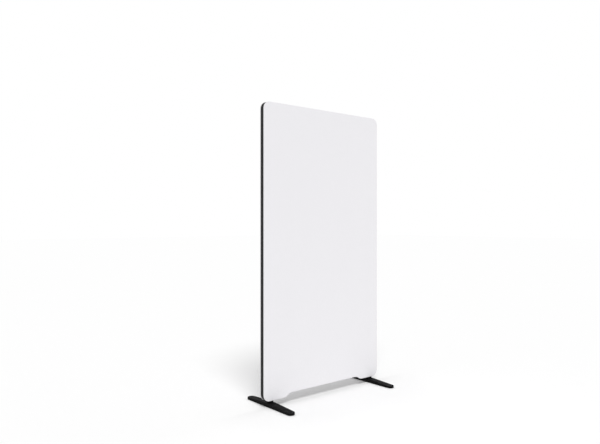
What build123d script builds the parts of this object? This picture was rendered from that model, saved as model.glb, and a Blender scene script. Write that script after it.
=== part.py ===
from build123d import *
from math import acos, degrees, sqrt
import os

# Acoustic divider screen: a fabric-faced panel on two bar feet.
# Millimetres. X runs along the panel, Y from front to rear, Z up.
# The origin is on the floor, under the middle of the panel.

# Panel outline, seen from the front
panel_width = 800
panel_height = 1460
panel_lift = 32
corner_radius = 36
low_edge_length = 119
bottom_rise = 18.5
rise_radius = 50

# Layers, from the middle of the panel outwards
core_depth = 22
board_thickness = 4
fabric_thickness = 1.5
wrap_clearance = 0.2
cover_edge_radius = 1.2

# Edge trim: a crowned cap with a spine that is pressed into a kerf
trim_recess = 0.5
trim_cap_thickness = 2.5
trim_cap_radius = 1
trim_side_clearance = 0.2
trim_spine_thickness = 2
trim_spine_depth = 10
trim_joint_gap = 0.3
corner_trim_reach = 25
kerf_side_clearance = 0.1
kerf_end_clearance = 0.5

# Steel tube frame
tube_width = 30
tube_wall = 2
tube_end_clearance = 1.5
middle_tube_height_share = 0.5
absorber_clearance = 0.3

# Screws that hold the edge cores to the tubes
core_screw_radius = 2.1
core_screw_head_radius = 4
core_screw_head_height = 2.5
core_screw_tip = 1.5
core_screw_socket_radius = 1.4
core_screw_socket_depth = 1.2
core_screw_cover = 1
core_screw_clearance = 0.05
core_screw_bore_clearance = 0.3
side_screw_shares = (0.2, 0.4, 0.6, 0.8)
end_screw_shares = (-0.6, 0, 0.6)

# Feet
foot_inset = 50
foot_length = 357
foot_width = 40
foot_end_height = 11.5
foot_seat_height = 20.5
foot_seat_length = 24
foot_top_radius = 1.2
foot_base_radius = 0.5

# Stems that carry the panel on the feet, each a tube that slides into the frame
stem_wall = 2
stem_fit_clearance = 0.5
stem_engagement = 100
stem_slot_clearance = 0.7
tube_slot_clearance = 0.5

# Long bolts that draw the feet up to the panel
bolt_radius = 4
bolt_head_radius = 6.5
bolt_head_height = 8
bolt_socket_radius = 3.4
bolt_socket_depth = 4
bolt_head_cover = 0.6
bolt_hole_clearance = 0.5
bolt_thread_clearance = 0.05
bolt_end = 2
bolt_edge = 0.6
washer_radius = 7
washer_thickness = 1.6
counterbore_radius = 7.5
anchor_length = 16
anchor_gap = 4

# Levelling glides
glide_inset = 25
glide_pad_radius = 13
glide_pad_thickness = 2.4
glide_pad_edge = 0.6
glide_flange_radius = 11
glide_flange_thickness = 1
glide_stud_radius = 3
glide_stud_length = 6
glide_stud_clearance = 0.05
glide_stud_end_clearance = 0.4
glide_seat_clearance = 0.1
glide_recess_radius = 14
glide_recess_depth = 1.5

# How far a cut runs past what it cuts
overrun = 1

# Places that follow from the sizes above
edge_inset = trim_recess + trim_cap_thickness
kerf_depth = trim_spine_depth + kerf_end_clearance
half_core = core_depth / 2
half_tube = tube_width / 2
panel_top = panel_lift + panel_height
corner_x = panel_width / 2 - corner_radius
rise_start = panel_width / 2 - low_edge_length
rise_run = sqrt(4 * rise_radius * bottom_rise - bottom_rise**2)
rise_end = rise_start - rise_run
foot_x = panel_width / 2 - foot_inset
tube_outer = foot_x + half_tube
tube_inner = foot_x - half_tube
edge_core_width = panel_width / 2 - edge_inset - tube_outer
tube_start = panel_lift + edge_inset + kerf_depth + tube_end_clearance
frame_top = panel_top - edge_inset - edge_core_width
bottom_tube_base = panel_lift + bottom_rise + edge_inset + edge_core_width
top_tube_base = frame_top - tube_width
bottom_tube_top = bottom_tube_base + tube_width
middle_tube_z = bottom_tube_top + (top_tube_base - bottom_tube_top) * middle_tube_height_share
foot_base = glide_pad_thickness + glide_flange_thickness + glide_seat_clearance - glide_recess_depth
glide_y = foot_length / 2 - glide_inset
stem_width = tube_width - 2 * (tube_wall + stem_fit_clearance)
stem_depth = core_depth - 2 * (tube_wall + stem_fit_clearance)
stem_top = tube_start + stem_engagement
anchor_base = stem_top + anchor_gap
counterbore_depth = washer_thickness + bolt_head_height + bolt_head_cover
bolt_seat = foot_base + counterbore_depth


def block(x, y, z):
    """A box between a low and a high value of x, of y and of z."""
    middle = [(low + high) / 2 for low, high in (x, y, z)]
    return Pos(*middle) * Box(x[1] - x[0], y[1] - y[0], z[1] - z[0])


def post(radius, base, top):
    """An upright cylinder on the Z axis."""
    return Pos(0, 0, (base + top) / 2) * Cylinder(radius, top - base)


def hexagon(radius, base, top):
    """An upright hexagonal prism on the Z axis."""
    return extrude(Pos(0, 0, base) * RegularPolygon(radius, 6), amount=top - base)


def mirrored(solid):
    """The same piece on the other side of the panel's middle."""
    return mirror(solid, Plane.YZ)


def outline(inset):
    """The panel's outline, drawn in by an even distance all round, as a face in XY."""
    side = panel_width / 2 - inset
    low = panel_lift + inset
    high = panel_lift + bottom_rise + inset
    top = panel_top - inset
    corner = corner_radius - inset
    outer_arc = rise_radius - inset
    inner_arc = rise_radius + inset
    turn = degrees(acos(1 - bottom_rise / (2 * rise_radius)))
    half = [
        Line((0, top), (corner_x, top)),
        CenterArc((corner_x, panel_top - corner_radius), corner, 0, 90),
        Line((side, panel_top - corner_radius), (side, panel_lift + corner_radius)),
        CenterArc((corner_x, panel_lift + corner_radius), corner, 270, 90),
        Line((corner_x, low), (rise_start, low)),
        CenterArc((rise_start, panel_lift + rise_radius), outer_arc, 270 - turn, turn),
        CenterArc((rise_end, panel_lift + bottom_rise - rise_radius), inner_arc, 90 - turn, turn),
        Line((rise_end, high), (0, high)),
    ]
    return Face(Wire(half + [mirrored(edge).edge() for edge in half]))


def slab(inset, front, rear):
    """The panel's outline, drawn in by inset, as a solid between two depths."""
    return extrude(Plane.XZ.offset(-rear) * outline(inset), amount=rear - front, dir=(0, -1, 0))


def ring(outer_inset, inner_inset, half_depth):
    """A band between two outlines, centred on the panel's middle plane."""
    opening = slab(inner_inset, -half_depth - overrun, half_depth + overrun)
    return slab(outer_inset, -half_depth, half_depth) - opening


def zone(x, z):
    """A box that cuts one piece out of a band: all of the panel's depth, between two x and two z."""
    return block(x, (-core_depth, core_depth), z)


def end_edges(solid, axis):
    """The edges round a solid's two end faces along an axis."""
    faces = solid.faces().sort_by(axis)
    return faces[0].edges() + faces[-1].edges()


# Edge trim

def trim_band():
    """The whole trim before it is cut into lengths: a cap with eased edges, and its spine."""
    half_cap = half_core - trim_side_clearance
    cap = slab(trim_recess, -half_cap, half_cap)
    cap = fillet(end_edges(cap, Axis.Y), trim_cap_radius)
    cap -= slab(edge_inset, -core_depth, core_depth)
    spine = ring(edge_inset - trim_cap_radius, edge_inset + trim_spine_depth, trim_spine_thickness / 2)
    band = cap + spine
    slot_x = stem_width / 2 + stem_slot_clearance
    slot_y = stem_depth / 2 + stem_slot_clearance
    slot = block((foot_x - slot_x, foot_x + slot_x), (-slot_y, slot_y), (0, panel_lift + corner_radius))
    tube_x = (tube_inner - tube_slot_clearance, tube_outer + tube_slot_clearance)
    tube_gap = zone(tube_x, (panel_lift, panel_lift + corner_radius))
    tube_gap &= slab(edge_inset, -core_depth, core_depth)
    cut = slot + tube_gap
    return band - cut - mirrored(cut)


def trim_pieces():
    """The ten lengths of trim, with a hairline joint between neighbours."""
    gap = trim_joint_gap / 2
    far_x = panel_width
    far_z = panel_top + panel_width
    top_z = panel_top - corner_radius
    low_z = panel_lift + corner_radius
    joint_x = foot_x - corner_trim_reach
    right_zones = {
        "edge_trim": zone((corner_x, far_x), (low_z + gap, top_z - gap)),
        "top_corner_trim": zone((joint_x + gap, far_x), (top_z + gap, far_z)),
        "bottom_corner_trim": zone((joint_x + gap, far_x), (0, low_z - gap)),
        "bottom_trim": zone((rise_end + gap, joint_x - gap), (0, low_z)),
    }
    band = trim_band()
    pieces = {
        "top_edge_trim": band & zone((gap - joint_x, joint_x - gap), (top_z, far_z)),
        "middle_bottom_trim": band & zone((gap - rise_end, rise_end - gap), (0, low_z)),
    }
    for name, cut in right_zones.items():
        piece = band & cut
        pieces["right_" + name] = piece
        pieces["left_" + name] = mirrored(piece)
    return pieces


# Edge cores and the screws that hold them

core_screw_head_z = -(kerf_depth + core_screw_cover)
core_screw_seat_z = core_screw_head_z - core_screw_head_height
core_screw_end_z = -(edge_core_width + tube_wall + core_screw_tip)


def core_screw():
    """One screw, pointing down from the edge core's outer face at z = 0."""
    head = post(core_screw_head_radius, core_screw_seat_z, core_screw_head_z)
    head -= hexagon(core_screw_socket_radius, core_screw_head_z - core_screw_socket_depth, 0)
    return head + post(core_screw_radius, core_screw_end_z, core_screw_seat_z)


def core_screw_bore():
    """The counterbore and the hole for one screw, with their clearances."""
    counterbore = post(core_screw_head_radius + core_screw_bore_clearance, core_screw_seat_z, edge_inset)
    hole = post(core_screw_radius + core_screw_clearance, core_screw_end_z - overrun, 0)
    return counterbore + hole


def core_screw_places():
    """Where each screw enters, as a plane whose Z axis points out of the panel's edge."""
    side_x = panel_width / 2 - edge_inset
    rise_z = panel_lift + bottom_rise + edge_inset
    planes = []
    for share in side_screw_shares:
        z = tube_start + (frame_top - tube_start) * share
        planes.append(Plane((side_x, 0, z), z_dir=(1, 0, 0)))
        planes.append(Plane((-side_x, 0, z), z_dir=(-1, 0, 0)))
    for share in end_screw_shares:
        planes.append(Plane((tube_inner * share, 0, panel_top - edge_inset), z_dir=(0, 0, 1)))
        planes.append(Plane((rise_end * share, 0, rise_z), z_dir=(0, 0, -1)))
    return planes


def core_screw_bores():
    """All the screws' holes, to be cut from the edge cores and the tubes."""
    bore = core_screw_bore()
    return [place * bore for place in core_screw_places()]


def edge_cores():
    """The wooden cores round the tube frame, with the kerf for the trim's spine."""
    half_kerf = trim_spine_thickness / 2 + kerf_side_clearance
    body = slab(edge_inset, -half_core, half_core)
    body -= ring(trim_recess, edge_inset + kerf_depth, half_kerf)
    far_z = panel_top + panel_width
    side = (body & zone((tube_outer, panel_width), (0, far_z))) - core_screw_bores()
    top = (body & zone((-tube_outer, tube_outer), (frame_top, far_z))) - core_screw_bores()
    bottom = (body & zone((-tube_inner, tube_inner), (0, bottom_tube_base))) - core_screw_bores()
    return {
        "left_edge_core": mirrored(side),
        "right_edge_core": side,
        "top_edge_core": top,
        "bottom_edge_core": bottom,
    }


# Tube frame and absorbers

def upright_tube():
    """The right-hand tube of the frame, open at both ends, with its screw holes."""
    bore_x = half_tube - tube_wall
    bore_y = half_core - tube_wall
    tube = block((tube_inner, tube_outer), (-half_core, half_core), (tube_start, frame_top))
    tube -= block((foot_x - bore_x, foot_x + bore_x), (-bore_y, bore_y), (0, panel_top))
    return tube - core_screw_bores()


def cross_tube(base):
    """A level tube between the two upright ones, with its screw holes."""
    bore_y = half_core - tube_wall
    tube = block((-tube_inner, tube_inner), (-half_core, half_core), (base, base + tube_width))
    bore_z = (base + tube_wall, base + tube_width - tube_wall)
    tube -= block((-tube_outer, tube_outer), (-bore_y, bore_y), bore_z)
    return tube - core_screw_bores()


def absorber(base, top):
    """A slab of soft absorber that fills the opening between two level tubes."""
    width = tube_inner - absorber_clearance
    depth = half_core - absorber_clearance
    return block((-width, width), (-depth, depth), (base + absorber_clearance, top - absorber_clearance))


# Boards and covers, built at the front and turned round for the rear

def board():
    """The stiff felt board that the front cover is stretched over."""
    front = -half_core - board_thickness
    return slab(fabric_thickness + wrap_clearance, front, -half_core)


def cover():
    """The front cloth: a thin skin over the board's face and round its edge."""
    board_front = -half_core - board_thickness
    shell = slab(0, board_front - fabric_thickness, -half_core)
    face = shell.faces().sort_by(Axis.Y)[0]
    shell = fillet(face.edges(), cover_edge_radius)
    return shell - slab(fabric_thickness, board_front, overrun - half_core)


# Feet, stems and bolts, built on the right-hand side

def foot():
    """A bar foot: flat below, highest at its seat, falling to both round ends."""
    half_length = foot_length / 2
    half_seat = foot_seat_length / 2
    plan = Rot(0, 0, 90) * SlotOverall(foot_length, foot_width)
    bar = extrude(Pos(0, 0, foot_base) * plan, amount=foot_seat_height)
    profile = Polygon(
        (-half_length, foot_base),
        (half_length, foot_base),
        (half_length, foot_end_height),
        (half_seat, foot_seat_height),
        (-half_seat, foot_seat_height),
        (-half_length, foot_end_height),
        align=None,
    )
    bar &= extrude(Plane.YZ * profile, amount=foot_width, both=True)
    rim = bar.edges().filter_by(Axis.X, reverse=True).filter_by(Axis.Z, reverse=True)
    base_edges = bar.faces().sort_by(Axis.Z)[0].edges()
    bar = fillet([edge for edge in rim if edge not in base_edges], foot_top_radius)
    bar = fillet(bar.faces().sort_by(Axis.Z)[0].edges(), foot_base_radius)
    bar -= post(bolt_radius + bolt_hole_clearance, 0, foot_seat_height + overrun)
    bar -= post(counterbore_radius, 0, bolt_seat)
    for side in (-1, 1):
        place = Pos(0, side * glide_y, 0)
        recess_top = foot_base + glide_recess_depth
        hole_top = recess_top + glide_stud_length + glide_stud_end_clearance
        bar -= place * post(glide_recess_radius, 0, recess_top)
        bar -= place * post(glide_stud_radius + glide_stud_clearance, 0, hole_top)
    return Pos(foot_x, 0, 0) * bar


def stem():
    """A short tube from the foot's seat up into the frame's upright tube."""
    half_width = stem_width / 2
    half_depth = stem_depth / 2
    bore_x = half_width - stem_wall
    bore_y = half_depth - stem_wall
    outer = block((-half_width, half_width), (-half_depth, half_depth), (foot_seat_height, stem_top))
    bore = block((-bore_x, bore_x), (-bore_y, bore_y), (0, panel_top))
    return Pos(foot_x, 0, 0) * (outer - bore)


def bolt_anchor():
    """A threaded block inside the upright tube, above the stem."""
    half_width = half_tube - tube_wall
    half_depth = half_core - tube_wall
    body = block((-half_width, half_width), (-half_depth, half_depth), (anchor_base, anchor_base + anchor_length))
    body -= post(bolt_radius + bolt_thread_clearance, 0, panel_top)
    return Pos(foot_x, 0, 0) * body


def foot_washer():
    """The washer between the bolt's head and the foot."""
    body = post(washer_radius, bolt_seat - washer_thickness, bolt_seat)
    body -= post(bolt_radius + bolt_thread_clearance, 0, panel_top)
    return Pos(foot_x, 0, 0) * body


def foot_bolt():
    """The socket-head bolt that runs up through the foot and the stem into the anchor."""
    head_top = bolt_seat - washer_thickness
    head_base = head_top - bolt_head_height
    head = post(bolt_head_radius, head_base, head_top)
    head = fillet(head.edges().sort_by(Axis.Z)[0], bolt_edge)
    head -= hexagon(bolt_socket_radius, head_base - overrun, head_base + bolt_socket_depth)
    shank = post(bolt_radius, head_top - overrun, anchor_base + anchor_length + bolt_end)
    shank = chamfer(shank.edges().sort_by(Axis.Z)[-1], bolt_edge)
    return Pos(foot_x, 0, 0) * (head + shank)


# Glides, built on the Z axis

def glide_pad():
    """The pad that stands on the floor."""
    pad = post(glide_pad_radius, 0, glide_pad_thickness)
    return chamfer(pad.edges().sort_by(Axis.Z)[-1], glide_pad_edge)


def glide_stud():
    """The threaded stud with its flange, bonded to the pad."""
    flange_top = glide_pad_thickness + glide_flange_thickness
    flange = post(glide_flange_radius, glide_pad_thickness, flange_top)
    return flange + post(glide_stud_radius, glide_pad_thickness, flange_top + glide_stud_length)


# Every node by name

def frame_nodes():
    """The tubes, the absorbers and the wooden edge cores with their screws."""
    middle_base = middle_tube_z - half_tube
    nodes = edge_cores()
    nodes["right_frame_tube"] = upright_tube()
    nodes["left_frame_tube"] = mirrored(nodes["right_frame_tube"])
    nodes["bottom_frame_tube"] = cross_tube(bottom_tube_base)
    nodes["middle_frame_tube"] = cross_tube(middle_base)
    nodes["top_frame_tube"] = cross_tube(top_tube_base)
    nodes["lower_absorber"] = absorber(bottom_tube_top, middle_base)
    nodes["upper_absorber"] = absorber(middle_base + tube_width, top_tube_base)
    screw = core_screw()
    nodes["edge_core_screws"] = Compound(children=[place * screw for place in core_screw_places()])
    return nodes


def face_nodes():
    """The two boards and the two cloth covers."""
    turn = Rot(0, 0, 180)
    return {
        "front_acoustic_board": board(),
        "rear_acoustic_board": turn * board(),
        "front_fabric_cover": cover(),
        "rear_fabric_cover": turn * cover(),
    }


def foot_nodes():
    """The feet, stems, bolts, washers and anchors."""
    nodes = {}
    for name, piece in (("foot", foot()), ("stem", stem())):
        nodes["right_" + name] = piece
        nodes["left_" + name] = mirrored(piece)
    for name, piece in (
        ("foot_bolts", foot_bolt()),
        ("foot_washers", foot_washer()),
        ("bolt_anchors", bolt_anchor()),
    ):
        nodes[name] = Compound(children=[piece, mirrored(piece)])
    return nodes


def glide_nodes():
    """A stud and a pad under each end of each foot."""
    nodes = {}
    for x_name, x_side in (("left", -1), ("right", 1)):
        for y_name, y_side in (("front", -1), ("rear", 1)):
            place = Pos(x_side * foot_x, y_side * glide_y, 0)
            nodes[f"{y_name}_{x_name}_glide_pad"] = place * glide_pad()
            nodes[f"{y_name}_{x_name}_glide_stud"] = place * glide_stud()
    return nodes


os.makedirs("parts", exist_ok=True)
all_nodes = {**frame_nodes(), **trim_pieces(), **face_nodes(), **foot_nodes(), **glide_nodes()}
for node_name, node_shape in all_nodes.items():
    export_step(node_shape, f"parts/{node_name}.step")
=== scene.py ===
"""The looks of a free-standing acoustic divider screen: cloth covers, edge trim and bar feet."""

import logging
import math
from dataclasses import dataclass
from enum import Enum
from itertools import product

import bmesh
import bpy
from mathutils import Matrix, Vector, noise


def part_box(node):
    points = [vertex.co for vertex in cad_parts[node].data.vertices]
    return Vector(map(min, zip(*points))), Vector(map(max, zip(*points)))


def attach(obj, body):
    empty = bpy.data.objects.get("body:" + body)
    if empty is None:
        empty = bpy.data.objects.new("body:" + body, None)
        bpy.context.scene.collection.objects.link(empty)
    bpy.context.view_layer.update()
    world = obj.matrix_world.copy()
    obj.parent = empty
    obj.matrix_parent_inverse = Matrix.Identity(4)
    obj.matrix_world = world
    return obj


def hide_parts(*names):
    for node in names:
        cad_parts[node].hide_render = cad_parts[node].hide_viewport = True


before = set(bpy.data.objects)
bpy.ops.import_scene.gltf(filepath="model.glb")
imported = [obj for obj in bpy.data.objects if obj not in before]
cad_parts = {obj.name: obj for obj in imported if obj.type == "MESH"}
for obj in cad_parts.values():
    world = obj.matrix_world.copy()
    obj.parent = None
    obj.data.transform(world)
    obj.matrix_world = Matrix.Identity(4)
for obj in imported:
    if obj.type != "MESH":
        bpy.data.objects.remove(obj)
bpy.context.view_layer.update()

LOG = logging.getLogger("divider_screen")
FLAT_MAP = "flat_map"
SMOOTH_STEP = {"interpolation_type": "SMOOTHSTEP"}
WELD_DISTANCE = 0.00001
ACROSS = Vector((1.0, 0.0, 0.0))
UP = Vector((0.0, 0.0, 1.0))

Colour = tuple[float, float, float]
Span = tuple[float, float]
Socket = bpy.types.NodeSocket
Material = bpy.types.Material
Mesh = bmesh.types.BMesh
Corner = bmesh.types.BMVert
Edge = bmesh.types.BMEdge
Face = bmesh.types.BMFace


@dataclass(frozen=True)
class Pattern:
    """A noise pattern: its blobs per metre, its finer layers and its factor along each axis."""

    scale: float
    detail: float = 2.0
    stretch: tuple[float, float, float] = (1.0, 1.0, 1.0)


@dataclass(frozen=True)
class Relief:
    """How a height from 0 to 1 shows: how deep 1 is, in metres, and how strongly."""

    depth: float
    strength: float


@dataclass(frozen=True)
class Signal:
    """A number that varies over a surface: one output socket, whose arithmetic adds Math nodes."""

    graph: "Graph"
    socket: Socket

    def __add__(self, other: "Signal | float") -> "Signal":
        """Return this signal plus another."""
        return self.graph.math("ADD", self, other)

    def __radd__(self, other: float) -> "Signal":
        """Return a number plus this signal."""
        return self.graph.math("ADD", other, self)

    def __sub__(self, other: "Signal | float") -> "Signal":
        """Return this signal minus another."""
        return self.graph.math("SUBTRACT", self, other)

    def __rsub__(self, other: float) -> "Signal":
        """Return a number minus this signal."""
        return self.graph.math("SUBTRACT", other, self)

    def __mul__(self, other: "Signal | float") -> "Signal":
        """Return this signal times another."""
        return self.graph.math("MULTIPLY", self, other)

    def __rmul__(self, other: float) -> "Signal":
        """Return a number times this signal."""
        return self.graph.math("MULTIPLY", other, self)

    def __truediv__(self, other: "Signal | float") -> "Signal":
        """Return this signal divided by another."""
        return self.graph.math("DIVIDE", self, other)

    def __rtruediv__(self, other: float) -> "Signal":
        """Return a number divided by this signal."""
        return self.graph.math("DIVIDE", other, self)

    def sine(self) -> "Signal":
        """Return the sine of this signal, in radians."""
        return self.graph.math("SINE", self)

    def size(self) -> "Signal":
        """Return this signal without its sign."""
        return self.graph.math("ABSOLUTE", self)

    def whole(self) -> "Signal":
        """Return the whole number below this signal."""
        return self.graph.math("FLOOR", self)

    def larger(self, other: "Signal | float") -> "Signal":
        """Return the larger of this signal and another."""
        return self.graph.math("MAXIMUM", self, other)

    def power(self, exponent: float) -> "Signal":
        """Return this signal raised to a power."""
        return self.graph.math("POWER", self, exponent)

    def mixed(self, other: "Signal", share: float) -> "Signal":
        """Return this signal with a share of it given over to another."""
        return self * (1.0 - share) + other * share

    def above(self, step: Span) -> "Signal":
        """Return 0 below a step, 1 above it and a smooth rise between its start and its end."""
        inputs = {0: self, 1: step[0], 2: step[1]}
        return self.graph.signal("ShaderNodeMapRange", SMOOTH_STEP, inputs)


@dataclass(frozen=True)
class Graph:
    """The nodes of one material or of the world."""

    tree: bpy.types.NodeTree

    def add(
        self,
        kind: str,
        settings: dict[str, object] | None = None,
        inputs: dict[str | int, object] | None = None,
    ) -> bpy.types.Node:
        """Add a node, set it, and join its inputs.

        Args:
            kind: The node's type.
            settings: The node's own settings, such as a Math node's operation.
            inputs: Values, signals or sockets, by the input's name or number.

        Returns:
            The new node.
        """
        node = self.tree.nodes.new(kind)
        for key, value in (settings or {}).items():
            setattr(node, key, value)
        for key, value in (inputs or {}).items():
            self.join(node.inputs[key], value)
        return node

    def join(self, target: Socket, value: object) -> None:
        """Feed one input from a signal or a socket, or set it to a plain value.

        Args:
            target: The input socket.
            value: A signal, a socket, a number or a colour.
        """
        if isinstance(value, Signal):
            value = value.socket
        if isinstance(value, Socket):
            self.tree.links.new(value, target)
        elif target.type == "RGBA":
            target.default_value = (*value, 1.0)
        else:
            target.default_value = value

    def signal(
        self, kind: str, settings: dict[str, object], inputs: dict[str | int, object]
    ) -> Signal:
        """Add a node and return its first output."""
        return Signal(self, self.add(kind, settings, inputs).outputs[0])

    def math(self, operation: str, *values: Signal | float) -> Signal:
        """Return what a Math node makes of some signals and numbers."""
        return self.signal("ShaderNodeMath", {"operation": operation}, dict(enumerate(values)))

    def place(self) -> Socket:
        """Return the object coordinates, in metres."""
        return self.add("ShaderNodeTexCoord").outputs["Object"]

    def split(self, vector: Socket) -> list[Signal]:
        """Return the X, Y and Z of a vector."""
        parts = self.add("ShaderNodeSeparateXYZ", None, {0: vector}).outputs
        return [Signal(self, part) for part in parts]

    def noise(self, pattern: Pattern) -> Signal:
        """Return a noise pattern, read at the object coordinates.

        Args:
            pattern: The pattern.

        Returns:
            The noise, from 0 to 1.
        """
        vector = self.place()
        if pattern.stretch != (1.0, 1.0, 1.0):
            inputs = {"Vector": vector, "Scale": pattern.stretch}
            vector = self.add("ShaderNodeMapping", None, inputs).outputs[0]
        inputs = {"Vector": vector, "Scale": pattern.scale, "Detail": pattern.detail}
        return self.signal("ShaderNodeTexNoise", {}, inputs)

    def blend(self, share: Signal | float, low: object, high: object) -> Socket:
        """Mix two colours.

        Args:
            share: 0 for the first colour, 1 for the second.
            low: The first colour, as a colour or a socket.
            high: The second colour, as a colour or a socket.

        Returns:
            The mixed colour's socket.
        """
        node = self.add("ShaderNodeMix", {"data_type": "RGBA"}, {"Factor": share})
        sockets = (*node.inputs, *node.outputs)
        first, second, mixed = (socket for socket in sockets if socket.type == "RGBA")
        self.join(first, low)
        self.join(second, high)
        return mixed

    def bump(self, height: Signal, relief: Relief) -> Socket:
        """Return the normal that a height from 0 to 1 bumps."""
        inputs = {"Strength": relief.strength, "Distance": relief.depth, "Height": height}
        return self.add("ShaderNodeBump", None, inputs).outputs["Normal"]

    def seen(self) -> Signal:
        """Return 1 to the eye, straight on or through a reflection or a pane, and 0 to other light.

        Returns:
            The mask.
        """
        path = self.add("ShaderNodeLightPath")
        rays = ("Is Camera Ray", "Is Glossy Ray", "Is Transmission Ray")
        straight, mirrored, through = (Signal(self, path.outputs[ray]) for ray in rays)
        return straight.larger(mirrored).larger(through)


def tinted(colour: Colour, factor: float, lift: float = 0.0) -> Colour:
    """Return a colour with each channel times a factor, plus a lift."""
    return tuple(channel * factor + lift for channel in colour)


class Finish:
    """What all finishes share: a material with one Principled shader."""

    name: str

    def start(self) -> Graph:
        """Start the material.

        Returns:
            The material's graph.
        """
        material = bpy.data.materials.new(self.name)
        material.use_nodes = True
        return Graph(material.node_tree)

    def finish(self, graph: Graph, **values: object) -> Material:
        """Set the Principled shader's inputs.

        Args:
            graph: The material's graph.
            values: Values by socket name, with an underscore for each space.

        Returns:
            The finished material.
        """
        shader = graph.tree.nodes["Principled BSDF"]
        for key, value in values.items():
            graph.join(shader.inputs[key.replace("_", " ")], value)
        return bpy.data.materials[self.name]


@dataclass(frozen=True)
class WovenCloth(Finish):
    """A tight plain weave of off-white yarn, read from the cloth's own flat map in metres."""

    name: str = "woven_cloth"
    colour: Colour = (0.834, 0.826, 0.850)
    # Painted shade and light: the weave's crevices are drawn darker and its crowns a little
    # lighter.
    painted_crevice_darkness: float = 0.86
    painted_crown_highlight: float = 1.016
    # Painted shade: the rim strip beside the trim is darkened.
    painted_rim_darkness: float = 0.80
    rim_shade_step: Span = (0.0146, 0.0163)
    yarn_pitch: float = 0.0016
    yarn_roundness: float = 0.6
    yarn_dive: float = 0.6
    fibres: Pattern = Pattern(4200.0, 3.0)
    slubs: Pattern = Pattern(260.0, stretch=(1.0, 1.0, 0.12))
    clouds: Pattern = Pattern(5.0)
    fibre_tone: float = 0.3
    weave_shade_step: Span = (0.1, 0.75)
    slub_tone: float = 0.12
    cloud_tone: float = 0.08
    fibre_height: float = 0.35
    slub_height: float = 0.3
    relief: Relief = Relief(0.00040, 0.35)
    roughness: float = 0.92
    specular: float = 0.2
    sheen: float = 0.15
    sheen_roughness: float = 0.6

    def weave(self, graph: Graph) -> Signal:
        """Return the height of a plain weave.

        Args:
            graph: The material's graph.

        Returns:
            The height, from 0 in the crevices to about 1 on the yarns.
        """
        flat = graph.add("ShaderNodeUVMap", {"uv_map": FLAT_MAP}).outputs[0]
        across, along = (part / self.yarn_pitch for part in graph.split(flat)[:2])
        warp = self.yarn(across, along + across.whole())
        weft = self.yarn(along, across + along.whole() + 1.0)
        return warp.larger(weft)

    def yarn(self, across: Signal, along: Signal) -> Signal:
        """Return one set of yarns, which rise and dive by turns.

        Args:
            across: The place across the yarns, in yarns.
            along: The place along them, in crossings.

        Returns:
            The height of those yarns.
        """
        round_section = (across * math.pi).sine().size().power(self.yarn_roundness)
        rise = (along * math.pi).sine() * 0.5 + 0.5
        return round_section * (rise * self.yarn_dive + (1.0 - self.yarn_dive))

    def material(self) -> Material:
        """Colour and raise the weave, with painted shade in its crevices and on the rim by the
        trim.

        Returns:
            The finished cloth material.
        """
        graph = self.start()
        height = self.weave(graph)
        _, depth, _ = graph.split(graph.place())
        # Painted shade: a mask for the rim strip beside the trim, which is drawn darker.
        rim = 1.0 - depth.size().above(self.rim_shade_step)
        fibres, slubs, clouds = map(graph.noise, (self.fibres, self.slubs, self.clouds))
        # Painted shade and light from the weave's height, mixed with the random tone of the fibres,
        # slubs and clouds.
        light = height.mixed(fibres, self.fibre_tone).above(self.weave_shade_step)
        weave_shade_share = 1.0 - self.slub_tone - self.cloud_tone
        tone = light * weave_shade_share + slubs * self.slub_tone + clouds * self.cloud_tone
        tints = (self.painted_crevice_darkness, self.painted_crown_highlight, self.painted_rim_darkness)
        crevice, crown, painted_rim_shade = (tinted(self.colour, tint) for tint in tints)
        woven = graph.blend(tone, crevice, crown)
        raised = height + fibres * self.fibre_height + slubs * self.slub_height
        return self.finish(
            graph,
            Base_Color=graph.blend(rim, woven, painted_rim_shade),
            Roughness=self.roughness,
            Specular_IOR_Level=self.specular,
            Sheen_Weight=self.sheen,
            Sheen_Roughness=self.sheen_roughness,
            Normal=graph.bump(raised, self.relief),
        )


@dataclass(frozen=True)
class MouldedPlastic(Finish):
    """A dull extruded plastic with fine drawing lines and a slight haze of dust."""

    name: str
    colour: Colour
    dust_tint: float = 1.4
    dust_lift: float = 0.001
    dust_step: Span = (0.40, 0.80)
    dust_tone: float = 0.4
    lines: Pattern = Pattern(2200.0, 1.0, (0.01, 1.0, 0.01))
    grain: Pattern = Pattern(1500.0, 3.0)
    haze: Pattern = Pattern(6.0)
    grain_height: float = 0.5
    relief: Relief = Relief(0.00005, 0.25)
    roughness: float = 0.46
    haze_roughness: float = 0.10
    grain_roughness: float = 0.08
    specular: float = 0.14

    def material(self) -> Material:
        """Lay the drawing lines, the grain and the dust over the plastic.

        Returns:
            The finished plastic material.
        """
        graph = self.start()
        lines, grain, haze = map(graph.noise, (self.lines, self.grain, self.haze))
        dust = haze.above(self.dust_step) * self.dust_tone
        dusty = tinted(self.colour, self.dust_tint, self.dust_lift)
        uneven = haze * self.haze_roughness + grain * self.grain_roughness
        return self.finish(
            graph,
            Base_Color=graph.blend(dust, self.colour, dusty),
            Roughness=uneven + self.roughness,
            Specular_IOR_Level=self.specular,
            Normal=graph.bump(lines.mixed(grain, self.grain_height), self.relief),
        )


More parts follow.
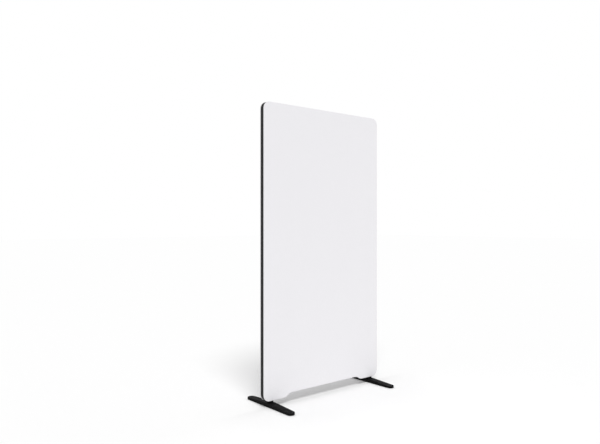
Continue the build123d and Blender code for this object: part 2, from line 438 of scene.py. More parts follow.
@dataclass(frozen=True)
class PowderCoat(Finish):
    """A black powder coat on steel: orange peel, fine speckle, and scuffs where shoes reach it."""

    name: str = "black_powder_coat"
    colour: Colour = (0.0060, 0.0060, 0.0063)
    dust_tint: float = 1.4
    dust_lift: float = 0.002
    dust_step: Span = (0.5, 0.75)
    dust_tone: float = 0.6
    rub_tint: float = 3.0
    rub_lift: float = 0.004
    peel: Pattern = Pattern(650.0)
    speckle: Pattern = Pattern(3200.0, 1.0)
    wear: Pattern = Pattern(45.0, 5.0)
    streaks: Pattern = Pattern(420.0, 4.0, (1.0, 0.12, 1.0))
    streak_step: Span = (0.58, 0.78)
    scuff_reach: Span = (0.07, 0.17)
    scuff_end: float = 0.7
    scuff_middle: float = 0.05
    speckle_height: float = 0.2
    scuff_depth: float = 0.2
    relief: Relief = Relief(0.00012, 0.3)
    roughness: float = 0.55
    wear_roughness: float = 0.14
    speckle_roughness: float = 0.06
    scuff_polish: float = 0.12
    specular: float = 0.05

    def material(self) -> Material:
        """Lay the peel, the speckle and the dust, and scuffs that grow towards the foot's ends.

        Returns:
            The finished coating material.
        """
        graph = self.start()
        peel, speckle, wear = map(graph.noise, (self.peel, self.speckle, self.wear))
        _, along, _ = graph.split(graph.place())
        reach = along.size().above(self.scuff_reach) * self.scuff_end + self.scuff_middle
        scuffs = graph.noise(self.streaks).above(self.streak_step) * reach
        dusty = tinted(self.colour, self.dust_tint, self.dust_lift)
        rubbed = tinted(self.colour, self.rub_tint, self.rub_lift)
        coat = graph.blend(wear.above(self.dust_step) * self.dust_tone, self.colour, dusty)
        uneven = wear * self.wear_roughness + speckle * self.speckle_roughness
        raised = peel.mixed(speckle, self.speckle_height) - scuffs * self.scuff_depth
        return self.finish(
            graph,
            Base_Color=graph.blend(scuffs, coat, rubbed),
            Roughness=uneven - scuffs * self.scuff_polish + self.roughness,
            Specular_IOR_Level=self.specular,
            Normal=graph.bump(raised, self.relief),
        )


@dataclass(frozen=True)
class BareMetal(Finish):
    """Zinc-plated or mill-finish steel, with fine scratches and cloudy plating."""

    name: str
    colour: Colour
    roughness: float
    scratches: Pattern = Pattern(1800.0, 3.0)
    clouds: Pattern = Pattern(60.0, 4.0)
    cloud_step: Span = (0.35, 0.7)
    dull_tint: float = 0.8
    cloud_roughness: float = 0.18
    scratch_roughness: float = 0.12
    relief: Relief = Relief(0.00004, 0.3)

    def material(self) -> Material:
        """Cloud and scratch the metal.

        Returns:
            The finished metal material.
        """
        graph = self.start()
        scratches, clouds = map(graph.noise, (self.scratches, self.clouds))
        dull = tinted(self.colour, self.dull_tint)
        uneven = clouds * self.cloud_roughness + scratches * self.scratch_roughness
        return self.finish(
            graph,
            Base_Color=graph.blend(clouds.above(self.cloud_step), dull, self.colour),
            Metallic=1.0,
            Roughness=uneven + self.roughness,
            Normal=graph.bump(scratches, self.relief),
        )


@dataclass(frozen=True)
class LaminatedWood(Finish):
    """Pale laminated wood: long fibres, thin glue lines and open pores."""

    name: str = "laminated_wood"
    light: Colour = (0.66, 0.50, 0.33)
    dark: Colour = (0.42, 0.28, 0.16)
    ply_thickness: float = 0.0016
    glue_step: Span = (0.0, 0.16)
    glue_tone: float = 0.55
    glue_depth: float = 0.4
    fibres: Pattern = Pattern(900.0, 4.0, (1.0, 1.0, 0.04))
    growth: Pattern = Pattern(30.0, 5.0, (1.0, 1.0, 0.15))
    fibre_tone: float = 0.55
    growth_tone: float = 0.6
    grain_step: Span = (0.3, 0.85)
    relief: Relief = Relief(0.0002, 0.3)
    roughness: float = 0.55
    fibre_roughness: float = 0.2

    def material(self) -> Material:
        """Lay the fibres, the growth rings and the glue lines.

        Returns:
            The finished wood material.
        """
        graph = self.start()
        _, depth, _ = graph.split(graph.place())
        plies = (depth * (math.pi / self.ply_thickness)).sine().size()
        fibres, growth = map(graph.noise, (self.fibres, self.growth))
        glue = 1.0 - plies.above(self.glue_step)
        tone = (fibres * self.fibre_tone + growth * self.growth_tone).above(self.grain_step)
        grain = graph.blend(tone, self.dark, self.light)
        return self.finish(
            graph,
            Base_Color=graph.blend(glue * self.glue_tone, grain, self.dark),
            Roughness=fibres * self.fibre_roughness + self.roughness,
            Normal=graph.bump(fibres - glue * self.glue_depth, self.relief),
        )


@dataclass(frozen=True)
class PressedFelt(Finish):
    """Pressed polyester felt: tangled fibres of mixed greys."""

    name: str
    light: Colour
    dark: Colour
    fibre_scale: float = 1400.0
    fibre_detail: float = 5.0
    fibre_draw: float = 0.35
    clumps: Pattern = Pattern(70.0, 3.0)
    clump_tone: float = 0.3
    tone_step: Span = (0.35, 0.7)
    relief: Relief = Relief(0.0004, 0.5)
    roughness: float = 0.95
    specular: float = 0.15
    sheen: float = 0.2

    def material(self) -> Material:
        """Tangle two sets of fibres, one along each way of the slab.

        Returns:
            The finished felt material.
        """
        graph = self.start()
        ways = ((1.0, 1.0, self.fibre_draw), (self.fibre_draw, 1.0, 1.0))
        tangles = [Pattern(self.fibre_scale, self.fibre_detail, way) for way in ways]
        tangle, cross, clumps = map(graph.noise, (*tangles, self.clumps))
        height = tangle.larger(cross)
        tone = height.mixed(clumps, self.clump_tone).above(self.tone_step)
        return self.finish(
            graph,
            Base_Color=graph.blend(tone, self.dark, self.light),
            Roughness=self.roughness,
            Specular_IOR_Level=self.specular,
            Sheen_Weight=self.sheen,
            Normal=graph.bump(height, self.relief),
        )


@dataclass(frozen=True)
class MouldedRubber(Finish):
    """Matt black rubber with a fine moulded grain."""

    name: str = "moulded_rubber"
    colour: Colour = (0.022, 0.022, 0.022)
    scuff_tint: float = 2.4
    grain: Pattern = Pattern(2600.0, 4.0)
    scuffs: Pattern = Pattern(180.0, 4.0)
    scuff_step: Span = (0.55, 0.8)
    scuff_tone: float = 0.6
    relief: Relief = Relief(0.0001, 0.4)
    roughness: float = 0.7
    scuff_roughness: float = 0.15

    def material(self) -> Material:
        """Lay the grain and the scuffs over the rubber.

        Returns:
            The finished rubber material.
        """
        graph = self.start()
        grain, scuffs = map(graph.noise, (self.grain, self.scuffs))
        rubbed = scuffs.above(self.scuff_step) * self.scuff_tone
        return self.finish(
            graph,
            Base_Color=graph.blend(rubbed, self.colour, tinted(self.colour, self.scuff_tint)),
            Roughness=scuffs * self.scuff_roughness + self.roughness,
            Normal=graph.bump(grain, self.relief),
        )


@dataclass(frozen=True)
class FloorPaint(Finish):
    """A plain matt floor, faintly uneven, with a painted shadow in front of the screen for the eye.
    """

    name: str = "studio_floor"
    colour: Colour = (0.982, 0.982, 0.982)
    patches: Pattern = Pattern(0.8)
    patch_tint: float = 0.998
    painted_shadow_tint: float = 0.895
    painted_shadow_start: Span = (-0.02, 0.02)
    painted_shadow_depth: Span = (0.12, 0.65)
    painted_shadow_width: Span = (0.15, 0.75)

    def material(self) -> Material:
        """Paint the floor, and the painted shadow in front of the screen, which only the eye sees.

        Returns:
            The finished floor material.
        """
        graph = self.start()
        patches = graph.noise(self.patches)
        paint = graph.blend(patches, self.colour, tinted(self.colour, self.patch_tint))
        across, along, _ = graph.split(graph.place())
        beside = across.size().above(self.painted_shadow_width)
        ahead = 0.0 - along
        near = ahead.above(self.painted_shadow_start) * (1.0 - ahead.above(self.painted_shadow_depth))
        # Painted shadow: the floor just in front of the screen is darkened, only to the eye.
        painted_shadow_mask = graph.seen() * near * (1.0 - beside)
        return self.finish(
            graph,
            Base_Color=graph.blend(painted_shadow_mask, paint, tinted(self.colour, self.painted_shadow_tint)),
            Roughness=1.0,
            Specular_IOR_Level=0.0,
        )


class Way(Enum):
    """A choice between two ways, whose name in small letters is the word in node names."""

    def __str__(self) -> str:
        """Return the word that node names use."""
        return self.name.lower()


class Side(Way):
    """A face of the panel, or an end of a foot. The value is the way that it faces along Y."""

    FRONT = -1
    REAR = 1


class End(Way):
    """An end of the panel, where it stands on a foot. The value is the way that it lies along X."""

    LEFT = -1
    RIGHT = 1


class Rounded(Enum):
    """What a bevel rounds. The value is the operator's word for it."""

    EDGES = "EDGES"
    CORNERS = "VERTICES"


def new_piece(name: str, mesh: Mesh, material: Material) -> bpy.types.Object:
    """Turn a finished bmesh into a piece of the scene.

    Args:
        name: The piece's name.
        mesh: The bmesh, which is freed.
        material: The piece's finish.

    Returns:
        The new object, at the origin.
    """
    data = bpy.data.meshes.new(name)
    mesh.to_mesh(data)
    mesh.free()
    data.materials.append(material)
    piece = bpy.data.objects.new(name, data)
    bpy.context.scene.collection.objects.link(piece)
    LOG.info("built %s", name)
    return piece


def dress(node: str, material: Material) -> None:
    """Give a CAD node a finish.

    Args:
        node: The node's name.
        material: The finish.
    """
    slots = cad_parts[node].data.materials
    slots.clear()
    slots.append(material)
    LOG.info("dressed %s in %s", node, material.name)


def add_mesh(mesh: Mesh, other: Mesh) -> None:
    """Add one mesh to another.

    Args:
        mesh: The mesh that grows.
        other: The mesh that is added, which is freed.
    """
    copy = bpy.data.meshes.new("copy")
    other.to_mesh(copy)
    other.free()
    mesh.from_mesh(copy)
    bpy.data.meshes.remove(copy)


def only(kind: type, parts: list[Corner | Edge | Face]) -> list[Corner | Edge | Face]:
    """Return the parts of one kind: corners, edges or faces."""
    return [part for part in parts if isinstance(part, kind)]


def bevel(
    mesh: Mesh,
    parts: list[Corner] | list[Edge],
    width: float,
    segments: int,
    rounded: Rounded = Rounded.EDGES,
) -> None:
    """Round some edges or corners of a mesh.

    Args:
        mesh: The mesh.
        parts: The edges or corners to round.
        width: How far the rounding reaches.
        segments: How many steps it has.
        rounded: Whether the parts are edges or corners.
    """
    bmesh.ops.bevel(
        mesh, geom=parts, offset=width, segments=segments,
        affect=rounded.value, profile=0.5, material=-1,
    )


def smooth_faces(mesh: Mesh) -> None:
    """Shade every face of a mesh smoothly."""
    for face in mesh.faces:
        face.smooth = True


@dataclass
class CoverCloth:
    """The cloth over one face of the panel, drawn round the board's edge and tucked at the trim."""

    side: Side
    corner_radius: float = 0.036
    corner_segments: int = 56
    rise: float = 0.0185
    rise_radius: float = 0.050
    rise_segments: int = 14
    rounding_share: float = 0.9999
    low_edge_length: float = 0.119
    border: float = 0.006
    cell: float = 0.020
    cell_corners: int = 6
    flatness: float = 0.999
    roll_radius: float = 0.0020
    roll_segments: int = 4
    gather_depth: float = 0.00016
    gather_pitch: float = 0.0052
    relief: float = 0.00012
    swell_scale: float = 9.0
    ripple_scale: float = 31.0
    ripple_share: float = 0.4
    thickness: float = 0.0014
    fold_share: float = 0.4
    fold_segments: int = 2
    fold_angle: float = 60.0

    def __post_init__(self) -> None:
        """Read the cover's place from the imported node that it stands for."""
        self.node = f"{self.side}_fabric_cover"
        self.low, self.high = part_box(self.node)
        if self.side is Side.FRONT:
            self.face_y, self.tuck_y = self.low.y, self.high.y
        else:
            self.face_y, self.tuck_y = self.high.y, self.low.y

    def sharp_corners(self) -> list[tuple[Vector, float, int]]:
        """Return the corners of the outline before they are rounded.

        Returns:
            For each corner its place, how far its rounding reaches, and the segments it gets.
        """
        y, bottom, radius = self.face_y, self.low.z, self.corner_radius
        turn = math.acos(1.0 - self.rise / (2.0 * self.rise_radius))
        reach = self.rise_radius * math.tan(turn / 2.0)
        start = self.high.x - self.low_edge_length
        end = start - 2.0 * self.rise_radius * math.sin(turn)
        right = [
            (Vector((self.high.x, y, self.high.z)), radius, self.corner_segments),
            (Vector((self.high.x, y, bottom)), radius, self.corner_segments),
            (Vector((start - reach, y, bottom)), reach, self.rise_segments),
            (Vector((end + reach, y, bottom + self.rise)), reach, self.rise_segments),
        ]
        left = [
            (Vector((-place.x, y, place.z)), near, count) for place, near, count in reversed(right)
        ]
        return right + left

    def outline(self) -> Mesh:
        """Draw one flat face with the panel's rounded outline.

        Returns:
            The face.
        """
        mesh = bmesh.new()
        corners = self.sharp_corners()
        vertices = [mesh.verts.new(place) for place, _, _ in corners]
        mesh.faces.new(vertices)
        for vertex, (_, reach, segments) in zip(vertices, corners):
            bevel(mesh, [vertex], reach * self.rounding_share, segments, Rounded.CORNERS)
        bmesh.ops.remove_doubles(mesh, verts=mesh.verts, dist=WELD_DISTANCE)
        return mesh

    def cut_into_cells(self, mesh: Mesh) -> None:
        """Set a plain border inside the rim, and cut the rest into a grid that can have relief.

        Args:
            mesh: The outline's one face, which is cut in place.
        """
        inner = mesh.faces[:]
        bmesh.ops.inset_region(
            mesh, faces=inner, thickness=self.border, use_even_offset=True, use_boundary=True
        )
        spans = ((ACROSS, self.low.x, self.high.x), (UP, self.low.z, self.high.z))
        for normal, low, high in spans:
            count = round((high - low) / self.cell)
            for index in range(1, count):
                point = normal * (low + (high - low) * index / count)
                edges = {edge for face in inner for edge in face.edges}
                vertices = {vertex for face in inner for vertex in face.verts}
                geometry = [*vertices, *edges, *inner]
                cut = bmesh.ops.bisect_plane(mesh, geom=geometry, plane_co=point, plane_no=normal)
                inner = only(Face, cut["geom"])

    def draw_round_edge(self, mesh: Mesh) -> None:
        """Extrude the rim back to the trim and roll its front edge.

        Args:
            mesh: The gridded face, which is changed in place.
        """
        rim = [edge for edge in mesh.edges if edge.is_boundary]
        moved = only(Corner, bmesh.ops.extrude_edge_only(mesh, edges=rim)["geom"])
        bmesh.ops.translate(mesh, verts=moved, vec=Vector((0.0, self.tuck_y - self.face_y, 0.0)))
        bmesh.ops.recalc_face_normals(mesh, faces=mesh.faces)
        largest = max(mesh.faces, key=lambda face: abs(face.normal.y) * face.calc_area())
        if largest.normal.y * self.side.value < 0.0:
            bmesh.ops.reverse_faces(mesh, faces=mesh.faces)
        bevel(mesh, rim, self.roll_radius, self.roll_segments)

    def gather(self, mesh: Mesh) -> None:
        """Draw the cloth into small folds at its tucked edge, where it goes round a corner.

        Args:
            mesh: The cover, whose tucked edge moves in place.
        """
        radius = self.corner_radius
        middle_z = (self.low.z + self.high.z) / 2.0
        for vertex in mesh.verts:
            place = vertex.co
            if abs(place.y - self.tuck_y) > WELD_DISTANCE:
                continue
            centre = Vector((
                math.copysign(self.high.x - radius, place.x),
                place.y,
                self.low.z + radius if place.z < middle_z else self.high.z - radius,
            ))
            out = place - centre
            in_corner = out.x * centre.x > 0.0 and out.z * (place.z - middle_z) > 0.0
            if in_corner:
                angle = math.atan2(abs(out.z), abs(out.x))
                wave = math.cos(2.0 * math.pi * angle * radius / self.gather_pitch)
                depth = self.gather_depth * (0.5 - 0.5 * wave) * math.sin(2.0 * angle)
                vertex.co -= out.normalized() * depth

    def is_cell(self, face: Face) -> bool:
        """Return whether a face is one of the small flat cells inside the border."""
        return abs(face.normal.y) >= self.flatness and len(face.verts) <= self.cell_corners

    def settle(self, mesh: Mesh) -> None:
        """Let the cloth lie a little unevenly on its board, inside its plain border.

        Args:
            mesh: The cover, whose face moves in place.
        """
        for vertex in mesh.verts:
            if all(self.is_cell(face) for face in vertex.link_faces):
                swell = noise.noise(vertex.co * self.swell_scale)
                swell += self.ripple_share * noise.noise(vertex.co * self.ripple_scale)
                vertex.co.y += self.side.value * self.relief * min(swell, 0.0)

    def lay_flat_map(self, mesh: Mesh) -> None:
        """Give each face its place on the flat cloth, in metres.

        Args:
            mesh: The finished cover.
        """
        layer = mesh.loops.layers.uv.new(FLAT_MAP)
        for face in mesh.faces:
            way = [abs(value) for value in face.normal]
            for loop in face.loops:
                place = loop.vert.co
                depth = place.y - self.face_y
                if way[1] >= max(way[0], way[2]):
                    loop[layer].uv = (place.x, place.z)
                elif way[0] > way[2]:
                    loop[layer].uv = (place.x + depth, place.z)
                else:
                    loop[layer].uv = (place.x, place.z + depth)

    def thicken(self, cloth: bpy.types.Object) -> None:
        """Give the cloth its thickness, towards the board, and fold its tucked edge over.

        Args:
            cloth: The cover as a single layer.
        """
        wall = cloth.modifiers.new("wall", "SOLIDIFY")
        wall.thickness = self.thickness
        wall.offset = -1.0
        wall.use_even_offset = False
        fold = cloth.modifiers.new("fold", "BEVEL")
        fold.width = self.fold_share * self.thickness
        fold.segments = self.fold_segments
        fold.limit_method = "ANGLE"
        fold.angle_limit = math.radians(self.fold_angle)

    def build(self, material: Material) -> None:
        """Build the cover and put it in its node's place.

        Args:
            material: The cloth's finish.
        """
        mesh = self.outline()
        self.cut_into_cells(mesh)
        self.draw_round_edge(mesh)
        self.gather(mesh)
        self.settle(mesh)
        self.lay_flat_map(mesh)
        smooth_faces(mesh)
        cloth = new_piece(f"{self.side}_cover_cloth", mesh, material)
        self.thicken(cloth)
        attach(cloth, "screen")
        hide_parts(self.node)


@dataclass
class AbsorberBatt:
    """One soft batt of absorber, which fills an opening of the frame behind the boards."""

    node: str
    edge_radius: float = 0.004
    edge_segments: int = 3
    long_edge: float = 0.1
    cells: int = 24
    slack_share: float = 0.05
    tuft_scale: float = 25.0

    def build(self, material: Material) -> None:
        """Build the batt in its node's place.

        Args:
            material: The batt's finish.
        """
        low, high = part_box(self.node)
        middle_y = (low.y + high.y) / 2.0
        mesh = bmesh.new()
        bmesh.ops.create_cube(mesh, size=1.0)
        bmesh.ops.scale(mesh, verts=mesh.verts, vec=high - low)
        bmesh.ops.translate(mesh, verts=mesh.verts, vec=(low + high) / 2.0)
        bevel(mesh, mesh.edges[:], self.edge_radius, self.edge_segments)
        long_edges = [edge for edge in mesh.edges if edge.calc_length() > self.long_edge]
        bmesh.ops.subdivide_edges(mesh, edges=long_edges, cuts=self.cells, use_grid_fill=True)
        for vertex in mesh.verts:
            tuft = 0.5 + 0.5 * noise.noise(vertex.co * self.tuft_scale)
            vertex.co.y -= (vertex.co.y - middle_y) * self.slack_share * tuft
        smooth_faces(mesh)
        batt = new_piece(f"{self.node}_batt", mesh, material)
        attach(batt, "screen")
        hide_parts(self.node)


@dataclass
class Panel:
    """The panel: two cloth covers on felt boards, a tube frame, wooden edge cores and the trim."""

    cloth: WovenCloth = WovenCloth()
    trim: MouldedPlastic = MouldedPlastic("black_trim_plastic", (0.0105, 0.0105, 0.0110))
    board: PressedFelt = PressedFelt("board_felt", (0.70, 0.70, 0.69), (0.48, 0.48, 0.48))
    batt: PressedFelt = PressedFelt("batt_felt", (0.30, 0.31, 0.32), (0.14, 0.145, 0.15), 700.0)
    tube: BareMetal = BareMetal(
        "mill_steel", (0.50, 0.51, 0.53), 0.30, Pattern(1800.0, 3.0, (1.0, 1.0, 0.05))
    )
    wood: LaminatedWood = LaminatedWood()
    screw: BareMetal = BareMetal("zinc_screw", (0.66, 0.67, 0.69), 0.17)

    def dress_nodes(self) -> None:
        """Dress the boards, the frame, the edge cores, their screws and the trim."""
        finishes = {
            "_trim": self.trim.material(),
            "_acoustic_board": self.board.material(),
            "_frame_tube": self.tube.material(),
            "_edge_core": self.wood.material(),
            "edge_core_screws": self.screw.material(),
        }
        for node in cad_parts:
            for ending, material in finishes.items():
                if node.endswith(ending):
                    dress(node, material)

    def build(self) -> None:
        """Build the soft pieces and dress the rest."""
        cloth = self.cloth.material()
        for side in Side:
            CoverCloth(side).build(cloth)
        batt = self.batt.material()
        for node in ("lower_absorber", "upper_absorber"):
            AbsorberBatt(node).build(batt)
        self.dress_nodes()


@dataclass
class BarFoot:
    """One bar foot with its stem, and the small fillet weld round the stem where it stands on it.

    The crown gives the points of the weld's rounded face, as shares of its leg out and up.
    """

    end: End
    leg: float = 0.0020
    root: float = 0.0003
    crown: tuple[Span, ...] = ((1.0, 0.15), (0.75, 0.55), (0.50, 0.80), (0.15, 1.0))
    stem_corner_radius: float = 0.0010
    corner_segments: int = 5
    side_cuts: int = 22
    ripple_depth: float = 0.00018
    ripple_pitch: float = 0.0014

    def __post_init__(self) -> None:
        """Read the place of the stem that the weld runs round."""
        self.low, self.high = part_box(f"{self.end}_stem")

    def section(self) -> list[Span]:
        """Return the weld's section as steps out from the stem and up from the foot."""
        face = [(out * self.leg, up * self.leg) for out, up in self.crown]
        return [(-self.root, -self.root), (self.leg, -self.root), *face, (-self.root, self.leg)]

    def ring(self, mesh: Mesh, out: float, up: float) -> list[Edge]:
        """Draw one closed line round the stem.

        Args:
            mesh: The weld's mesh.
            out: How far outside the stem the line runs.
            up: Its height above the foot.

        Returns:
            The line's edges.
        """
        left, right = self.low.x - out, self.high.x + out
        front, rear = self.low.y - out, self.high.y + out
        loop = bmesh.new()
        corners = [
            loop.verts.new((x, y, self.low.z + up))
            for x, y in ((left, front), (right, front), (right, rear), (left, rear))
        ]
        loop.faces.new(corners)
        radius = self.stem_corner_radius + max(out, 0.0)
        bevel(loop, corners, radius, self.corner_segments, Rounded.CORNERS)
        sides = sorted(loop.edges, key=lambda edge: edge.calc_length())[-len(corners):]
        bmesh.ops.subdivide_edges(loop, edges=sides, cuts=self.side_cuts)
        start = len(mesh.edges)
        add_mesh(mesh, loop)
        mesh.edges.ensure_lookup_table()
        edges = mesh.edges[start:]
        faces = {face for edge in edges for face in edge.link_faces}
        bmesh.ops.delete(mesh, geom=list(faces), context="FACES_ONLY")
        return edges

    def build_weld(self, coat: Material) -> None:
        """Build the weld.

        Args:
            coat: The powder coat.
        """
        mesh = bmesh.new()
        rings = [self.ring(mesh, out, up) for out, up in self.section()]
        for first, second in zip(rings, rings[1:] + rings[:1]):
            bmesh.ops.bridge_loops(mesh, edges=first + second)
        bmesh.ops.recalc_face_normals(mesh, faces=mesh.faces)
        middle = (self.low + self.high) / 2.0
        for vertex in mesh.verts:
            if 0.0 < vertex.co.z - self.low.z < self.leg:
                run = (vertex.co.x - middle.x) + (vertex.co.y - middle.y)
                wave = math.sin(2.0 * math.pi * run / self.ripple_pitch)
                vertex.co.z += self.ripple_depth * wave
        smooth_faces(mesh)
        bead = new_piece(f"{self.end}_stem_weld", mesh, coat)
        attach(bead, "screen")

    def build(self, coat: Material) -> None:
        """Dress the foot and the stem, and build the weld.

        Args:
            coat: The powder coat.
        """
        dress(f"{self.end}_foot", coat)
        dress(f"{self.end}_stem", coat)
        self.build_weld(coat)


@dataclass
class LevellingGlide:
    """One levelling glide: a threaded stud with a serrated flange, bonded to a ribbed pad.

    The ribs, the grooves' ends and the rim's start are shares of the pad's radius. The thread's
    form gives each point of one turn as shares of the thread's depth and of its pitch.
    """

    side: Side
    end: End
    spin_steps: int = 64
    edge_radius: float = 0.0006
    edge_ease: float = 0.3
    ribs: tuple[Span, ...] = ((0.20, 0.34), (0.42, 0.56), (0.64, 0.78))
    groove_depth: float = 0.0003
    first_groove: float = 0.16
    groove_wall: float = 0.02
    groove_end: float = 0.06
    rim_start: float = 0.86
    flange_thickness: float = 0.0010
    flange_ease: float = 0.2
    flange_overlap: float = 0.5
    serration_depth: float = 0.0004
    serration_reach: float = 1.5
    stud_radius: float = 0.0030
    thread_pitch: float = 0.0010
    thread_depth: float = 0.00055
    thread_form: tuple[Span, ...] = ((0.0, 0.0), (0.0, 0.15), (1.0, 0.50), (1.0, 0.65), (0.0, 1.0))
    thread_steps: int = 24
    lead_in: float = 1.3
    spare_turns: int = 2

    def __post_init__(self) -> None:
        """Read the glide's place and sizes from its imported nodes."""
        self.name = f"{self.side}_{self.end}_glide"
        self.pad_low, self.pad_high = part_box(f"{self.name}_pad")
        self.stud_low, self.stud_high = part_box(f"{self.name}_stud")
        centre = (self.pad_low + self.pad_high) / 2.0
        self.axis = Vector((centre.x, centre.y, 0.0))

    def turned(self, profile: list[Span], steps: int, turns: int = 1, pitch: float = 0.0) -> Mesh:
        """Turn a profile round the glide's axis, or screw it up along that axis.

        Args:
            profile: Each point's distance from the axis and its height.
            steps: How many steps a turn has.
            turns: How many turns it makes.
            pitch: How far it climbs in a turn.

        Returns:
            The turned shape.
        """
        mesh = bmesh.new()
        points = [
            mesh.verts.new((self.axis.x + radius, self.axis.y, height))
            for radius, height in profile
        ]
        edges = [mesh.edges.new(pair) for pair in zip(points, points[1:])]
        bmesh.ops.spin(
            mesh, geom=points + edges, cent=self.axis, axis=UP, dvec=UP * (pitch / steps),
            angle=2.0 * math.pi * turns, steps=steps * turns, use_merge=pitch == 0.0,
        )
        bmesh.ops.remove_doubles(mesh, verts=mesh.verts, dist=WELD_DISTANCE)
        return mesh

    def pad_profile(self) -> list[Span]:
        """Return the pad's profile: a ribbed sole, a rounded edge and a flat top.

        Returns:
            Each point's distance from the axis and its height.
        """
        radius = (self.pad_high.x - self.pad_low.x) / 2.0
        top, groove, edge = self.pad_high.z, self.groove_depth, self.edge_radius
        ease = self.edge_ease * edge
        sole = [(0.0, groove), (self.first_groove * radius, groove)]
        for start, end in self.ribs:
            sole += [
                (start * radius, 0.0),
                (end * radius, 0.0),
                ((end + self.groove_wall) * radius, groove),
                ((end + self.groove_end) * radius, groove),
            ]
        rim = [
            (self.rim_start * radius, 0.0), (radius - edge, 0.0), (radius - ease, ease),
            (radius, edge), (radius, top - edge), (radius - ease, top - ease),
            (radius - edge, top), (0.0, top),
        ]
        return sole + rim

    def build_pad(self, material: Material) -> None:
        """Build the pad that stands on the floor.

        Args:
            material: The rubber.
        """
        mesh = self.turned(self.pad_profile(), self.spin_steps)
        bmesh.ops.recalc_face_normals(mesh, faces=mesh.faces)
        pad = new_piece(f"{self.name}_sole", mesh, material)
        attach(pad, self.name)
        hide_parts(f"{self.name}_pad")

    def flange(self) -> Mesh:
        """Turn the flange, and serrate its rim for turning it by hand.

        Returns:
            The flange.
        """
        radius = (self.stud_high.x - self.stud_low.x) / 2.0
        base, top = self.stud_low.z, self.stud_low.z + self.flange_thickness
        ease = self.flange_ease * self.flange_thickness
        profile = [
            (0.0, base), (radius - ease, base), (radius, base + ease),
            (radius, top - ease), (radius - ease, top), (0.0, top),
        ]
        mesh = self.turned(profile, self.spin_steps)
        bmesh.ops.recalc_face_normals(mesh, faces=mesh.faces)
        for vertex in mesh.verts:
            out = vertex.co - self.axis
            out.z = 0.0
            tooth = round(math.atan2(out.y, out.x) * self.spin_steps / (2.0 * math.pi))
            if out.length > radius - self.serration_reach * ease and tooth % 2:
                vertex.co -= out.normalized() * self.serration_depth
        return mesh

    def thread(self) -> Mesh:
        """Screw up the threaded stud, a helix that is cut off square at both ends.

        Returns:
            The closed stud.
        """
        base = self.stud_low.z + self.flange_overlap * self.flange_thickness
        top = self.stud_high.z
        root = self.stud_radius - self.thread_depth
        start = base - self.lead_in * self.thread_pitch
        profile = [
            (root + rise * self.thread_depth, start + share * self.thread_pitch)
            for rise, share in self.thread_form
        ]
        turns = math.ceil((top - base) / self.thread_pitch) + self.spare_turns
        mesh = self.turned(profile, self.thread_steps, turns, self.thread_pitch)
        for height, way in ((base, -1.0), (top, 1.0)):
            cut = bmesh.ops.bisect_plane(
                mesh, geom=mesh.verts[:] + mesh.edges[:] + mesh.faces[:],
                plane_co=UP * height, plane_no=UP * way, clear_outer=True,
            )
            bmesh.ops.edgeloop_fill(mesh, edges=only(Edge, cut["geom_cut"]))
        bmesh.ops.recalc_face_normals(mesh, faces=mesh.faces)
        return mesh

    def build_stud(self, material: Material) -> None:
        """Build the stud with its flange.

        Args:
            material: The zinc plating.
        """
        mesh = self.thread()
        add_mesh(mesh, self.flange())
        stud = new_piece(f"{self.name}_thread", mesh, material)
        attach(stud, self.name)
        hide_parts(f"{self.name}_stud")


@dataclass
class Supports:
    """The two feet with their bolts, and the four levelling glides."""

    coat: PowderCoat = PowderCoat()
    fastener: BareMetal = BareMetal("zinc_fastener", (0.62, 0.63, 0.66), 0.19)
    rubber: MouldedRubber = MouldedRubber()

    def build(self) -> None:
        """Build the feet and the glides, and dress their fasteners."""
        coat, zinc, rubber = self.coat.material(), self.fastener.material(), self.rubber.material()
        for end in End:
            BarFoot(end).build(coat)
        for node in ("foot_bolts", "foot_washers", "bolt_anchors"):
            dress(node, zinc)
        for side, end in product(Side, End):
            glide = LevellingGlide(side, end)
            glide.build_pad(rubber)
            glide.build_stud(zinc)


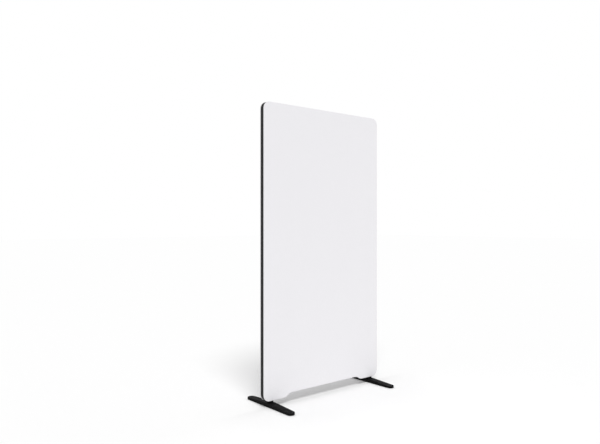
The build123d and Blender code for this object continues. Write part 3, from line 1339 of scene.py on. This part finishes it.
@dataclass
class Studio:
    """A white floor and backdrop, soft daylight all round, one soft key lamp and the camera."""

    camera_place: tuple[float, float, float] = (-2.0765, -2.2847, 0.9050)
    camera_tilt: float = 90.0
    camera_heading: float = -40.0
    lens: float = 35.0
    sensor: float = 36.0
    floor_size: float = 60.0
    floor_cells: int = 8
    daylight: float = 0.565
    key_strength: float = 1.69
    key_elevation: float = 56.0
    key_heading: float = -31.0
    key_softness: float = 25.0

    def add_camera(self) -> None:
        """Place the camera at the photograph's viewing point."""
        data = bpy.data.cameras.new("camera")
        data.lens = self.lens
        data.sensor_width = self.sensor
        camera = bpy.data.objects.new("camera", data)
        camera.location = self.camera_place
        turns = (self.camera_tilt, 0.0, self.camera_heading)
        camera.rotation_euler = [math.radians(turn) for turn in turns]
        bpy.context.scene.collection.objects.link(camera)
        bpy.context.scene.camera = camera

    def add_floor(self) -> None:
        """Lay a plain matt floor, which keeps the screen's shadow."""
        mesh = bmesh.new()
        cells = self.floor_cells
        bmesh.ops.create_grid(mesh, x_segments=cells, y_segments=cells, size=self.floor_size / 2.0)
        new_piece("floor", mesh, FloorPaint().material())

    def add_daylight(self) -> None:
        """Light the scene evenly, with plain white where the eye looks past it."""
        world = bpy.data.worlds.new("daylight")
        world.use_nodes = True
        graph = Graph(world.node_tree)
        strength = graph.seen() * (1.0 - self.daylight) + self.daylight
        sky = graph.tree.nodes["Background"]
        graph.join(sky.inputs["Color"], (1.0, 1.0, 1.0))
        graph.join(sky.inputs["Strength"], strength)
        bpy.context.scene.world = world

    def add_key(self) -> None:
        """Hang the key lamp, high in front of the screen and to its left."""
        data = bpy.data.lights.new("key", "SUN")
        data.energy = self.key_strength
        data.angle = math.radians(self.key_softness)
        key = bpy.data.objects.new("key", data)
        turns = (90.0 - self.key_elevation, 0.0, self.key_heading)
        key.rotation_euler = [math.radians(turn) for turn in turns]
        bpy.context.scene.collection.objects.link(key)

    def build(self) -> None:
        """Set up the camera, the floor and the light."""
        bpy.context.scene.view_settings.view_transform = "Standard"
        self.add_camera()
        self.add_floor()
        self.add_daylight()
        self.add_key()


def main() -> None:
    """Set up the studio, then build and dress the screen from the panel down."""
    logging.basicConfig(level=logging.INFO, format="%(name)s: %(message)s")
    for part in (Studio(), Panel(), Supports()):
        part.build()
        LOG.info("finished %s", type(part).__name__)


if __name__ == "__main__":
    main()
